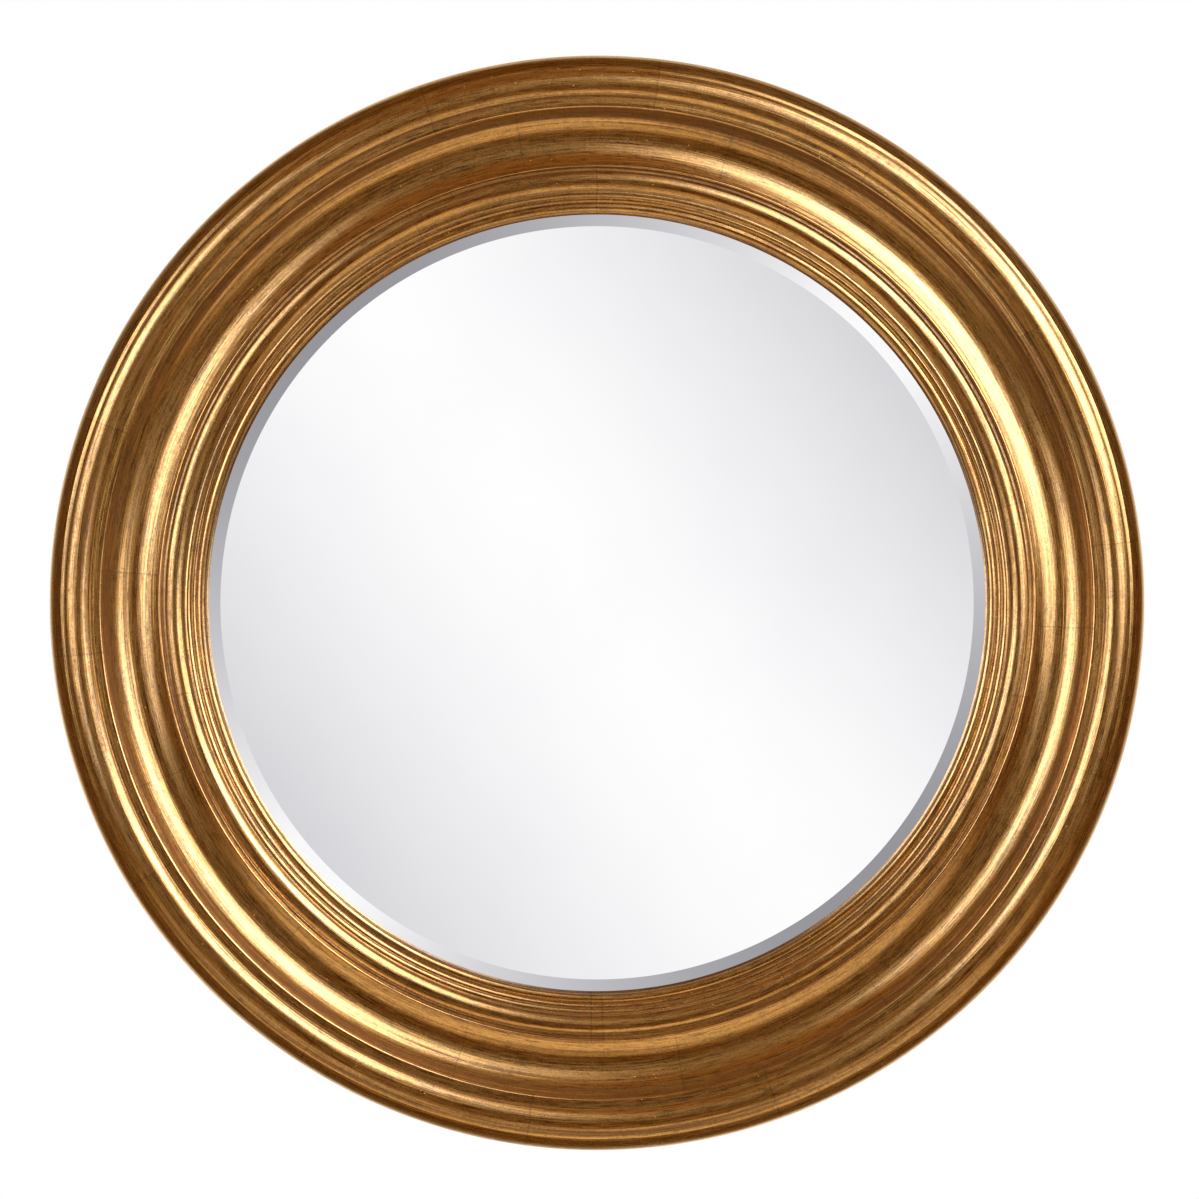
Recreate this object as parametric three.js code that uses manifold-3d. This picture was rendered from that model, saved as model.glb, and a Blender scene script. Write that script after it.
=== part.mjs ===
// Round convex mirror in a turned, gilded frame, with its back and wall fixings.
// Millimetres, +Z up. The axis of the frame is Y: the front faces -Y, and the wall is the plane y = 0.
import * as THREE from 'three';
import { mergeVertices } from 'three/addons/utils/BufferGeometryUtils.js';
import Module from 'manifold-3d';

const wasm = await Module();
wasm.setup();

// ---- Driving dimensions ----

// Clearances
const seatGap = 0.3; // between pieces that touch
const runningGap = 0.35; // round a shank or a bar that turns
const glassGap = 1; // round the glass and the board in the rebate

// Frame and glass
const sightDiameter = 572; // opening of the moulding, where the glass starts to show
const sightLipThickness = 3.5; // moulding in front of the glass, at the sight edge
const glassUnderLip = 4.5; // how far the glass reaches under the moulding
const rearRingDepth = 20; // wood behind the moulding
const rearRingSetBack = 4; // of the rear ring's side behind the moulding's side
const rearSegmentCount = 8;

// Moulding profile, from the sight edge outwards: widths across, rises towards the front
const sightBead = { width: 6.3, rise: 1.2, bulge: 1.5 };
const innerReed = { width: 3.9, rise: 2.2, bulge: 0.9 };
const outerReed = { width: 4.7, rise: 2.2, bulge: 1.2 };
const innerBead = { width: 13.7, rise: 2.8, bulge: 2.9 };
const quirkGroove = { width: 0.6, rise: -0.6 };
const quirkStep = { width: 0.4, rise: 1 };
const quirkFillet = { width: 2, rise: -0.6 };
const coveLipWall = { width: 1.1, rise: 3 };
const coveLip = { width: 1.7, rise: 0.4, bulge: 0.5 };
const coveInnerFlank = { width: 18, rise: -6.6 };
const coveOuterFlank = { width: 23.2, rise: 16 };
const filletArris = { width: 1.6, rise: 0.9, bulge: 0.5 };
const fillet = { width: 6.6, rise: -0.4 };
const torusQuirk = { width: 0.5, rise: 1.9 };
const torus = { width: 18.3, rise: -0.4, bulge: 3.6 };
const edgeQuirk = { width: 0.6, rise: -0.3 };
const edgeFacet = { width: 2, rise: -0.9 };
const edgeRound = { width: 8.8, rise: -16, bulge: 1.6 };
const backChamfer = 1;

// Mirror glass, a shallow dome with a flat-ground rim
const bevelWidth = 15;
const bevelAngle = 6.5; // degrees steeper than the edge of the dome
const domeRise = 18; // of the dome inside the bevel
const glassThickness = 5;

// Back
const boardThickness = 3;
const packingBlockLength = 44;
const packingBlockWidth = 14;
const buttonCount = 8;
const buttonThickness = 1.5;
const buttonWidth = 12;
const buttonReach = 24; // from its pivot to its tip
const buttonTail = 7; // from its pivot to its other end
const buttonPivotInset = 12; // of the pivot from the edge of the rebate

// Wall bumpers
const bumperThickness = 8;
const bumperRadius = 10;
const bumperRecessRadius = 4.6;
const bumperRecessDepth = 4.5;
const bumperAngle = 30; // from the top or the bottom
const bumperInset = 24; // from the side of the rear ring

// Hangers
const hangerAngle = 52; // ring angle of the eye, from the top
const hangerInset = 38; // of the eye from the side of the rear ring
const strapLength = 42;
const strapWidth = 12;
const strapThickness = 1.2;
const upperStrapScrewDrop = 20; // below the eye
const lowerStrapScrewInset = 8; // above the end of the strap
const ringWireRadius = 1.3;
const ringInnerWidth = 16;
const ringCornerRadius = 3;

// Screws
const screwShankRadius = 1.7;
const screwHeadRadius = 3.6;
const screwHeadHeight = 2;
const screwGrip = 12; // length in the wood
const screwPoint = 3;

// Fineness of the facets
const ringSteps = 64;
const arcStepDegrees = 24;
const domeSteps = 6;
const smallRoundSteps = 10;
const screwHeadSteps = 3;
const bumperSteps = 16;
const blockSteps = 4;
const wireSteps = 30;
const wireSides = 8;
const weldDistance = 1e-4;

// ---- Worked-out sizes and places ----

const profile = [
  sightBead, innerReed, outerReed, innerBead, quirkGroove, quirkStep, quirkFillet, coveLipWall, coveLip,
  withFlatBottom(coveInnerFlank), withFlatBottom(coveOuterFlank),
  filletArris, fillet, torusQuirk, torus, edgeQuirk, edgeFacet, edgeRound,
];
const mouldingWidth = profile.reduce((sum, stroke) => sum + stroke.width, 0);
const sightRadius = sightDiameter / 2;
const outerRadius = sightRadius + mouldingWidth;

const ringBackY = -bumperThickness;
const ringFrontY = ringBackY - rearRingDepth;
const mouldingBackY = ringFrontY - seatGap;
const sightY = mouldingBackY - sightLipThickness;

const glassRadius = sightRadius + glassUnderLip;
const rebateRadius = glassRadius + glassGap;
const rearRingRadius = outerRadius - rearRingSetBack;

const bevelInnerRadius = glassRadius - bevelWidth;
const domeRadius = (bevelInnerRadius ** 2 + domeRise ** 2) / (2 * domeRise);
const bevelSlope = Math.tan(Math.asin(bevelInnerRadius / domeRadius) + radians(bevelAngle));
const apexY = mouldingBackY + seatGap - domeRise - bevelSlope * (sightRadius - bevelInnerRadius);
const domeCentreY = apexY + domeRadius;
const glassBackRadius = domeRadius - glassThickness;
const glassRimBackY = domeCentreY - Math.sqrt(glassBackRadius ** 2 - glassRadius ** 2);

const boardBackY = ringBackY - seatGap;
const boardFrontY = boardBackY - boardThickness;
const buttonPivotRadius = rebateRadius + buttonPivotInset;
const screwHoleRadius = screwShankRadius + runningGap;

const eyeBore = ringWireRadius + runningGap;
const eyeRadius = eyeBore + strapThickness;
const eyeRing = rearRingRadius - hangerInset;
const eyeX = eyeRing * Math.sin(radians(hangerAngle));
const eyeZ = eyeRing * Math.cos(radians(hangerAngle));
const strapFrontY = ringBackY + seatGap;
const eyeY = strapFrontY + eyeRadius;
const strapScrewDrops = [upperStrapScrewDrop, strapLength - lowerStrapScrewInset];

// ---- Materials ----

const finishes = {
  gold: { color: 0x9d7440, roughness: 0.35, metalness: 1 },
  mirror: { color: 0xf4f6f6, roughness: 0.02, metalness: 1 },
  wood: { color: 0xb08a5c, roughness: 0.8, metalness: 0 },
  pine: { color: 0xd0b183, roughness: 0.85, metalness: 0 },
  board: { color: 0x6b4a2e, roughness: 0.75, metalness: 0 },
  steel: { color: 0xb9bcc0, roughness: 0.35, metalness: 1 },
  brass: { color: 0xb8964f, roughness: 0.35, metalness: 1 },
  rubber: { color: 0x1c1c1c, roughness: 0.9, metalness: 0 },
};

// ---- Small helpers ----

function radians(degrees) {
  return THREE.MathUtils.degToRad(degrees);
}

// A point at a ring angle, clockwise from the top as the front is seen.
function onRing(radius, degrees, y = 0) {
  const angle = radians(degrees);
  return new THREE.Vector3(radius * Math.sin(angle), y, radius * Math.cos(angle));
}

// Height of an arc over its chord, for an arc that turns by `turn` radians.
function arcHeight(chord, turn) {
  return (chord / 2) * Math.tan(turn / 4);
}

// A hollow stroke that runs level at its lower end.
function withFlatBottom({ width, rise }) {
  const turn = 2 * Math.atan(Math.abs(rise) / width);
  return { width, rise, bulge: -arcHeight(Math.hypot(width, rise), turn) };
}

// The points of one profile stroke from `start`: straight, or an arc that bulges to the front.
function strokePoints(start, { width, rise, bulge = 0 }) {
  const chord = Math.hypot(width, rise);
  const turn = 4 * Math.atan((2 * Math.abs(bulge)) / chord);
  const steps = Math.max(1, Math.round(turn / radians(arcStepDegrees)));
  const points = [];
  for (let i = 1; i <= steps; i++) {
    const along = i / steps;
    const lean = (along - 0.5) * turn;
    const share = bulge === 0 ? along : 0.5 + Math.sin(lean) / (2 * Math.sin(turn / 2));
    const lift = bulge === 0 ? 0 : bulge * (Math.cos(lean) - Math.cos(turn / 2)) / (1 - Math.cos(turn / 2));
    points.push(new THREE.Vector2(
      start.x + share * width - lift * rise / chord,
      start.y + share * rise + lift * width / chord,
    ));
  }
  return points;
}

// A ring or disc turned round the Y axis. The profile's points are (radius, y).
function turned(points, steps = ringSteps) {
  const outline = THREE.ShapeUtils.area(points) < 0 ? [...points].reverse() : points;
  if (outline.some((point) => point.x === 0)) {
    // A profile that meets the axis starts and ends on it.
    while (outline[0].x !== 0 || outline[outline.length - 1].x !== 0) outline.push(outline.shift());
    return new THREE.LatheGeometry(outline, steps);
  }
  return new THREE.LatheGeometry([...outline, outline[0]], steps);
}

// A plate in the XZ plane, from y = back towards the front.
function plate(shape, thickness, back, curveSegments = smallRoundSteps) {
  const geometry = new THREE.ExtrudeGeometry(shape, { depth: thickness, bevelEnabled: false, curveSegments });
  geometry.rotateX(Math.PI / 2);
  geometry.translate(0, back, 0);
  return geometry;
}

function toSolid(geometry) {
  const bare = geometry.clone();
  bare.deleteAttribute('normal');
  bare.deleteAttribute('uv');
  const merged = mergeVertices(bare, weldDistance);
  return new wasm.Manifold(new wasm.Mesh({
    numProp: 3,
    vertProperties: merged.attributes.position.array,
    triVerts: new Uint32Array(merged.index.array),
  }));
}

function cut(geometry, tools) {
  const left = tools.reduce((solid, tool) => solid.subtract(toSolid(tool)), toSolid(geometry)).getMesh();
  const result = new THREE.BufferGeometry();
  result.setAttribute('position', new THREE.BufferAttribute(left.vertProperties, 3));
  result.setIndex(new THREE.BufferAttribute(left.triVerts, 1));
  result.computeVertexNormals();
  return result;
}

const mirrorAssembly = new THREE.Group();

function add(name, geometry, finish, position = new THREE.Vector3(), turnAboutY = 0) {
  const mesh = new THREE.Mesh(geometry, new THREE.MeshStandardMaterial(finishes[finish]));
  mesh.name = name;
  mesh.position.copy(position);
  mesh.rotation.y = turnAboutY;
  mirrorAssembly.add(mesh);
  return mesh;
}

// ---- Gilded moulding ----

function mouldingGeometry() {
  const front = [new THREE.Vector2(0, 0)];
  for (const stroke of profile) front.push(...strokePoints(front[front.length - 1], stroke));
  const outline = [
    new THREE.Vector2(0, -sightLipThickness),
    ...front,
    new THREE.Vector2(mouldingWidth, backChamfer - sightLipThickness),
    new THREE.Vector2(mouldingWidth - backChamfer, -sightLipThickness),
  ];
  return turned(outline.map((point) => new THREE.Vector2(sightRadius + point.x, sightY - point.y)));
}

// ---- Mirror glass ----

// Points of a shallow dome from the axis out to `radius`.
function domePoints(curvature, radius) {
  const points = [];
  for (let i = 0; i <= domeSteps; i++) {
    const r = (radius * i) / domeSteps;
    points.push(new THREE.Vector2(r, domeCentreY - Math.sqrt(curvature ** 2 - r ** 2)));
  }
  return points;
}

function glassGeometry() {
  const front = domePoints(domeRadius, bevelInnerRadius);
  const bevelEdge = front[front.length - 1];
  const rimFront = new THREE.Vector2(glassRadius, bevelEdge.y + bevelSlope * bevelWidth);
  return turned([...front, rimFront, ...domePoints(glassBackRadius, glassRadius).reverse()]);
}

// ---- Screws, and the holes for them ----

// A round-head wood screw along Y, with the underside of its head at y = 0 and its point to the front.
function screwGeometry(length) {
  const head = [];
  for (let i = 0; i < screwHeadSteps; i++) {
    const angle = (Math.PI / 2) * (i / screwHeadSteps);
    head.push(new THREE.Vector2(screwHeadRadius * Math.cos(angle), screwHeadHeight * Math.sin(angle)));
  }
  return turned([
    new THREE.Vector2(0, -length),
    new THREE.Vector2(screwShankRadius, screwPoint - length),
    new THREE.Vector2(screwShankRadius, 0),
    ...head,
    new THREE.Vector2(0, screwHeadHeight),
  ], smallRoundSteps);
}

// A tool for a round hole along Y at (x, z), between two planes.
function drill(radius, x, z, frontY, backY) {
  const tool = new THREE.CylinderGeometry(radius, radius, backY - frontY, smallRoundSteps);
  tool.translate(x, (frontY + backY) / 2, z);
  return tool;
}

function pilotHole(place) {
  return drill(screwHoleRadius, place.x, place.z, ringBackY - screwGrip - runningGap, ringBackY + seatGap);
}

// A screw that clamps what lies between y = headY and the wood.
function addScrew(name, place, headY, finish) {
  const under = headY + seatGap;
  add(name, screwGeometry(under - ringBackY + screwGrip), finish, new THREE.Vector3(place.x, under, place.z));
}

// ---- Where the back's pieces go ----

const segmentAngle = 360 / rearSegmentCount;
const buttonPlaces = Array.from({ length: buttonCount }, (_, i) => {
  const degrees = (360 / buttonCount) * i;
  return { degrees, pivot: onRing(buttonPivotRadius, degrees) };
});
const bumperPlaces = [bumperAngle, 180 - bumperAngle, 180 + bumperAngle, 360 - bumperAngle]
  .map((degrees) => onRing(rearRingRadius - bumperInset, degrees));
const hangers = [
  { side: 'left', x: -eyeX },
  { side: 'right', x: eyeX },
];
const strapScrews = hangers.flatMap(({ side, x }) => strapScrewDrops.map((below, i) => (
  { name: `hanger_screw_${side}_${i + 1}`, place: new THREE.Vector3(x, 0, eyeZ - below) }
)));
const woodHoles = [
  ...buttonPlaces.map(({ pivot }) => pivot),
  ...bumperPlaces,
  ...strapScrews.map(({ place }) => place),
];

// ---- Rear ring, in butt-jointed segments ----

function ringAngleOf(place) {
  return (THREE.MathUtils.radToDeg(Math.atan2(place.x, place.z)) + 360) % 360;
}

function segmentGeometry(middle) {
  const halfJoint = seatGap / 2;
  const corner = (radius, side) => {
    const angle = segmentAngle / 2 - THREE.MathUtils.radToDeg(Math.asin(halfJoint / radius));
    return radians(90 - middle - side * angle);
  };
  const shape = new THREE.Shape();
  shape.absarc(0, 0, rearRingRadius, corner(rearRingRadius, 1), corner(rearRingRadius, -1), false);
  shape.absarc(0, 0, rebateRadius, corner(rebateRadius, -1), corner(rebateRadius, 1), true);
  const blank = plate(shape, rearRingDepth, ringBackY, ringSteps / rearSegmentCount);
  const holes = woodHoles.filter((place) => {
    const away = Math.abs(ringAngleOf(place) - middle);
    return Math.min(away, 360 - away) < segmentAngle / 2;
  });
  return cut(blank, holes.map(pilotHole));
}

// ---- Packing blocks and back board ----

function packingBlockGeometry() {
  const outer = rebateRadius - seatGap;
  const inner = outer - packingBlockWidth;
  const half = packingBlockLength / 2 / outer;
  const shape = new THREE.Shape();
  shape.absarc(0, 0, outer, Math.PI / 2 - half, Math.PI / 2 + half, false);
  shape.absarc(0, 0, inner, Math.PI / 2 + half, Math.PI / 2 - half, true);
  const blockBackY = boardFrontY - seatGap;
  const blockFrontY = glassRimBackY + seatGap;
  return plate(shape, blockBackY - blockFrontY, blockBackY, blockSteps);
}

function boardGeometry() {
  return turned([
    new THREE.Vector2(0, boardFrontY),
    new THREE.Vector2(rebateRadius - glassGap / 2, boardFrontY),
    new THREE.Vector2(rebateRadius - glassGap / 2, boardBackY),
    new THREE.Vector2(0, boardBackY),
  ]);
}

// ---- Turn buttons ----

// A round-ended plate with its pivot at the origin and its arm pointing down.
function buttonGeometry() {
  const half = buttonWidth / 2;
  const shape = new THREE.Shape();
  shape.absarc(0, buttonTail - half, half, 0, Math.PI, false);
  shape.absarc(0, half - buttonReach, half, Math.PI, 2 * Math.PI, false);
  shape.closePath();
  const hole = new THREE.Path();
  hole.absarc(0, 0, screwHoleRadius, 0, 2 * Math.PI, true);
  shape.holes.push(hole);
  return plate(shape, buttonThickness, ringBackY + seatGap + buttonThickness, smallRoundSteps / 2);
}

// ---- Wall bumpers ----

function bumperGeometry() {
  const front = ringBackY + seatGap;
  return turned([
    new THREE.Vector2(screwHoleRadius, front),
    new THREE.Vector2(bumperRadius, front),
    new THREE.Vector2(bumperRadius, 0),
    new THREE.Vector2(bumperRecessRadius, 0),
    new THREE.Vector2(bumperRecessRadius, -bumperRecessDepth),
    new THREE.Vector2(screwHoleRadius, -bumperRecessDepth),
  ], bumperSteps);
}

// ---- Hangers ----

// A strap whose upper end is rolled into an eye. The eye's axis is the X axis through the origin.
function strapGeometry() {
  const shape = new THREE.Shape();
  const rollEnd = Math.PI + Math.acos((eyeRadius - strapThickness) / eyeRadius);
  shape.moveTo(-eyeRadius, -strapLength);
  shape.lineTo(strapThickness - eyeRadius, -strapLength);
  shape.absarc(0, 0, eyeRadius, rollEnd, 3 * Math.PI, false);
  shape.closePath();
  const bore = new THREE.Path();
  bore.absarc(0, 0, eyeBore, 0, 2 * Math.PI, true);
  shape.holes.push(bore);
  const geometry = new THREE.ExtrudeGeometry(shape, {
    depth: strapWidth, bevelEnabled: false, curveSegments: smallRoundSteps,
  });
  geometry.translate(0, 0, -strapWidth / 2);
  geometry.applyMatrix4(new THREE.Matrix4().makeBasis(
    new THREE.Vector3(0, 1, 0), new THREE.Vector3(0, 0, 1), new THREE.Vector3(1, 0, 0),
  ));
  const holes = strapScrewDrops.map((below) => drill(screwHoleRadius, 0, -below, -2 * eyeRadius, eyeRadius));
  return cut(geometry, holes);
}

// A flat outline laid in the XZ plane, for a wire to follow.
class WirePath extends THREE.Curve {
  constructor(outline) {
    super();
    this.outline = outline;
  }

  getPoint(t, target = new THREE.Vector3()) {
    const point = this.outline.getPointAt(t);
    return target.set(point.x, 0, point.y);
  }
}

// A D of round wire that hangs from its straight side, which is open at the middle, inside the eye.
function hangerRingGeometry() {
  const halfWidth = ringInnerWidth / 2 + ringWireRadius;
  const corner = ringCornerRadius;
  const outline = new THREE.Path();
  outline.moveTo(seatGap / 2, 0);
  outline.lineTo(halfWidth - corner, 0);
  outline.absarc(halfWidth - corner, -corner, corner, Math.PI / 2, 0, true);
  outline.absarc(0, -corner, halfWidth, 0, -Math.PI, true);
  outline.absarc(corner - halfWidth, -corner, corner, Math.PI, Math.PI / 2, true);
  outline.lineTo(-seatGap / 2, 0);
  const section = new THREE.Shape();
  section.absarc(0, 0, ringWireRadius, 0, 2 * Math.PI, false);
  return new THREE.ExtrudeGeometry(section, {
    steps: wireSteps, curveSegments: wireSides / 2, extrudePath: new WirePath(outline),
  });
}

// ---- Assembly ----

add('gilded_moulding', mouldingGeometry(), 'gold');
add('mirror_glass', glassGeometry(), 'mirror');

for (let i = 0; i < rearSegmentCount; i++) {
  add(`rear_segment_${i + 1}`, segmentGeometry(segmentAngle * i), 'wood');
}

buttonPlaces.forEach(({ degrees, pivot }, i) => {
  add(`packing_block_${i + 1}`, packingBlockGeometry(), 'pine', new THREE.Vector3(), radians(degrees));
  add(`turn_button_${i + 1}`, buttonGeometry(), 'brass', pivot, radians(degrees));
  addScrew(`turn_button_screw_${i + 1}`, pivot, ringBackY + seatGap + buttonThickness, 'brass');
});
add('back_board', boardGeometry(), 'board');

bumperPlaces.forEach((place, i) => {
  add(`wall_bumper_${i + 1}`, bumperGeometry(), 'rubber', place);
  addScrew(`bumper_screw_${i + 1}`, place, -bumperRecessDepth, 'steel');
});

for (const { side, x } of hangers) {
  const eye = new THREE.Vector3(x, eyeY, eyeZ);
  add(`hanger_strap_${side}`, strapGeometry(), 'steel', eye);
  add(`hanger_ring_${side}`, hangerRingGeometry(), 'steel', eye);
}
for (const { name, place } of strapScrews) addScrew(name, place, strapFrontY + strapThickness, 'steel');

export default mirrorAssembly;
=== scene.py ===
"""Surfaces, finishes and studio for a round convex mirror in a turned, gilded frame.

Metres. The axis of the frame is Y: the front faces -Y, and the wall is the plane y = 0. A ring angle runs
clockwise from the top as the front is seen.
"""
import math

import bmesh
import bpy
import numpy as np
from mathutils import Matrix, Vector


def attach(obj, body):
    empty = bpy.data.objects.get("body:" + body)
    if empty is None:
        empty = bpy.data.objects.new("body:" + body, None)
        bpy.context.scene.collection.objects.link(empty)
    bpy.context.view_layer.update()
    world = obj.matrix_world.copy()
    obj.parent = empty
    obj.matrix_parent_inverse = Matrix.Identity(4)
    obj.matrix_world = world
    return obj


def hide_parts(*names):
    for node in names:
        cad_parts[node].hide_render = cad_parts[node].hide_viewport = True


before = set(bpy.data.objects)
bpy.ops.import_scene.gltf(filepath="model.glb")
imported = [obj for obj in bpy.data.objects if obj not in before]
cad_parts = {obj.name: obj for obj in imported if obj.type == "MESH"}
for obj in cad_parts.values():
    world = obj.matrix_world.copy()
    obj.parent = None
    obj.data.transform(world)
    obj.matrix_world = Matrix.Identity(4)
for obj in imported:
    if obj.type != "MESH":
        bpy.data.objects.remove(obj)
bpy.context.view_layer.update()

MM = 0.001

# ---- Sizes of the real pieces, in metres ----

SEAT_GAP = 0.3 * MM
SIGHT_RADIUS = 286 * MM
SIGHT_Y = -31.8 * MM
SIGHT_LIP = 3.5 * MM
MOULDING_WIDTH = 114 * MM
BACK_CHAMFER = 1 * MM
RING_BACK_Y = -8 * MM
RING_DEPTH = 20 * MM
REBATE_RADIUS = 291.5 * MM
REAR_RADIUS = 396 * MM
GLASS_RADIUS = 290.5 * MM
BEVEL_WIDTH = 15 * MM
BEVEL_ANGLE = math.radians(6.5)
DOME_RISE = 18 * MM
GLASS_THICKNESS = 5 * MM
GLASS_CREASE = 3  # degrees, so that the bevel keeps its edge
BOARD_RADIUS = 291 * MM
BOARD_THICKNESS = 3 * MM
BUTTON_WIDTH = 12 * MM
BUTTON_REACH = 24 * MM
BUTTON_TAIL = 7 * MM
BUTTON_THICKNESS = 1.5 * MM
BUTTON_PIVOT_RADIUS = 303.5 * MM
BUTTON_EASE = 0.35 * MM
RIB_HEIGHT = 0.45 * MM
RIB_HALF_WIDTH = 1.9 * MM
RIB_START = 7 * MM
RIB_END = 20 * MM
RIB_RUN_OUT = 2 * MM
BUMPER_RADIUS = 10 * MM
BUMPER_RECESS_RADIUS = 4.6 * MM
BUMPER_RECESS_DEPTH = 4.5 * MM
BUMPER_RING = 372 * MM
HANGER_RING = 358 * MM
HANGER_ANGLE = 52
STRAP_WIDTH = 12 * MM
STRAP_LENGTH = 42 * MM
STRAP_THICKNESS = 1.2 * MM
STRAP_SCREW_DROPS = (20 * MM, 34 * MM)
EYE_RADIUS = 2.85 * MM
EYE_TURN = 318  # degrees that the strap's end is rolled through
WIRE_RADIUS = 1.3 * MM
RING_HALF_WIDTH = 9.3 * MM
RING_CORNER = 3 * MM
SHANK_RADIUS = 1.7 * MM
HEAD_RADIUS = 3.6 * MM
HEAD_HEIGHT = 2 * MM
HOLE_RADIUS = 2.05 * MM
SCREW_GRIP = 12 * MM

# Faces round each turned piece.
FRAME_STEPS, GLASS_STEPS, BOARD_STEPS, BUMPER_STEPS = 480, 384, 192, 48

# Strokes of the moulding's profile from the sight edge outwards, in millimetres: width across, rise to the
# front, bulge to the front; then how much umber sits in the stroke, partly toning and partly painted shade that
# is heaviest in the grooves and on the steep cove wall, and how far its leaf is rubbed, from 0 to 1.
STROKES = (
    ("sight bead", 6.3, 1.2, 1.5, 0.35, 0.5),
    ("inner reed", 3.9, 2.2, 0.9, 0.4, 0.4),
    ("outer reed", 4.7, 2.2, 1.2, 0.4, 0.4),
    ("inner bead", 13.7, 2.8, 2.9, 0.3, 0.2),
    ("quirk groove", 0.6, -0.6, 0, 1, 0),
    ("quirk step", 0.4, 1, 0, 0.8, 0.3),
    ("quirk fillet", 2, -0.6, 0, 0.6, 0.5),
    ("cove lip wall", 1.1, 3, 0, 0.7, 0.3),
    ("cove lip", 1.7, 0.4, 0.5, 0.1, 0.7),
    ("cove, inner slope", 5.5, -3.3, -0.02, 0.25, 0.2),
    ("cove, inner flank", 12.5, -3.3, -0.84, 0.3, 0.1),
    ("cove, outer flank", 16.37, 6.32, -1.56, 0.4, 0.15),
    ("cove wall", 6.83, 9.68, -0.7, 1, 0.35),
    ("fillet arris", 1.6, 0.9, 0.2, 0.3, 0.4),
    ("fillet", 6.6, -0.4, 0, 0.45, 0.5),
    ("torus quirk", 0.5, 1.9, 0, 0.9, 0.2),
    ("torus", 18.3, -0.4, 3.3, 0.4, 0.2),
    ("edge quirk", 0.6, -0.3, 0, 0.6, 0.3),
    ("edge facet", 2, -0.9, 0, 0.3, 0.7),
    ("edge round", 8.8, -16, 1.6, 0.45, 0.35),
)


# ---- Node trees written as Python expressions ----


def operator(operation, swapped=False):
    """A method that adds a Math node for `operation`."""

    def apply(self, *others):
        terms = [self, *others]
        return self.tree.node("ShaderNodeMath", {"operation": operation}, terms[::-1] if swapped else terms)

    return apply


class Socket:
    """An output of a node. Python's operators on it add the Math nodes that they stand for."""

    def __init__(self, tree, output):
        self.tree = tree
        self.output = output

    __add__, __radd__ = operator("ADD"), operator("ADD", True)
    __sub__, __rsub__ = operator("SUBTRACT"), operator("SUBTRACT", True)
    __mul__, __rmul__ = operator("MULTIPLY"), operator("MULTIPLY", True)
    __truediv__, __rtruediv__ = operator("DIVIDE"), operator("DIVIDE", True)
    __pow__ = operator("POWER")
    __mod__ = operator("FLOORED_MODULO")
    __gt__ = operator("GREATER_THAN")
    __abs__ = operator("ABSOLUTE")
    floor = operator("FLOOR")
    sine = operator("SINE")
    turn_to = operator("ARCTAN2")
    at_most = operator("MINIMUM")
    at_least = operator("MAXIMUM")

    def fade(self, low, high, to_low=0.0, to_high=1.0):
        """Goes smoothly from `to_low` where this is `low` to `to_high` where it is `high`."""
        return self.tree.node(
            "ShaderNodeMapRange", {"interpolation_type": "SMOOTHSTEP"}, [self, low, high, to_low, to_high]
        )


class Tree:
    """A node tree under construction."""

    def __init__(self, tree):
        self.tree = tree
        self.tree.nodes.clear()

    def node(self, kind, settings=None, inputs=(), out=0):
        """Adds one node: its settings first, then the values or links of its sockets."""
        made = self.tree.nodes.new(kind)
        for name, value in (settings or {}).items():
            setattr(made, name, value)
        for name, value in inputs.items() if isinstance(inputs, dict) else enumerate(inputs):
            if isinstance(value, Socket):
                self.tree.links.new(value.output, made.inputs[name])
            elif value is not None:
                made.inputs[name].default_value = value
        return Socket(self, made.outputs[out]) if made.outputs else None

    def split(self, vector):
        first = self.node("ShaderNodeSeparateXYZ", None, [vector])
        return [Socket(self, output) for output in first.output.node.outputs]

    def join(self, x, y, z):
        return self.node("ShaderNodeCombineXYZ", None, [x, y, z])

    def mix(self, factor, a, b):
        """Goes from colour `a` to colour `b`."""
        return self.node("ShaderNodeMix", {"data_type": "RGBA"}, {0: factor, 6: a, 7: b}, 2)

    def tint(self, color, by):
        """Colour `color` times the number `by`."""
        return self.node("ShaderNodeVectorMath", {"operation": "SCALE"}, {0: color, "Scale": by})

    def noise(self, vector, scale=1.0, detail=2.0, roughness=0.5, distortion=0.0):
        settings = {"Vector": vector, "Scale": scale, "Detail": detail, "Roughness": roughness}
        return self.node("ShaderNodeTexNoise", None, {**settings, "Distortion": distortion})

    def cells(self, vector, scale, feature="F1"):
        """The distance to the middle of the nearest cell, or to its edge."""
        return self.node("ShaderNodeTexVoronoi", {"feature": feature}, {"Vector": vector, "Scale": scale}, "Distance")

    def chance(self, vector):
        """A number from 0 to 1 that is the same wherever `vector` is the same."""
        return self.node("ShaderNodeTexWhiteNoise", {"noise_dimensions": "3D"}, [vector])


class Finish(Tree):
    """The material of one finish."""

    def __init__(self, name):
        self.material = bpy.data.materials.new(name)
        self.material.use_nodes = True
        super().__init__(self.material.node_tree)
        self.place = self.node("ShaderNodeTexCoord", None, (), "Object")

    def attribute(self, name):
        return self.node("ShaderNodeAttribute", {"attribute_name": name}, (), "Fac")

    def done(self, color, roughness, height=None, **fixed):
        """Ends the material. `height` is the relief in metres, and `fixed` holds the shader's constants."""
        normal = None
        if height is not None:
            normal = self.node("ShaderNodeBump", None, {"Strength": 1.0, "Distance": 1.0, "Height": height})
        inputs = {"Base Color": color, "Roughness": roughness, "Normal": normal}
        inputs.update({name.replace("_", " "): value for name, value in fixed.items()})
        shader = self.node("ShaderNodeBsdfPrincipled", None, inputs)
        self.node("ShaderNodeOutputMaterial", None, {"Surface": shader})
        return self.material


# ---- Finishes ----

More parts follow.
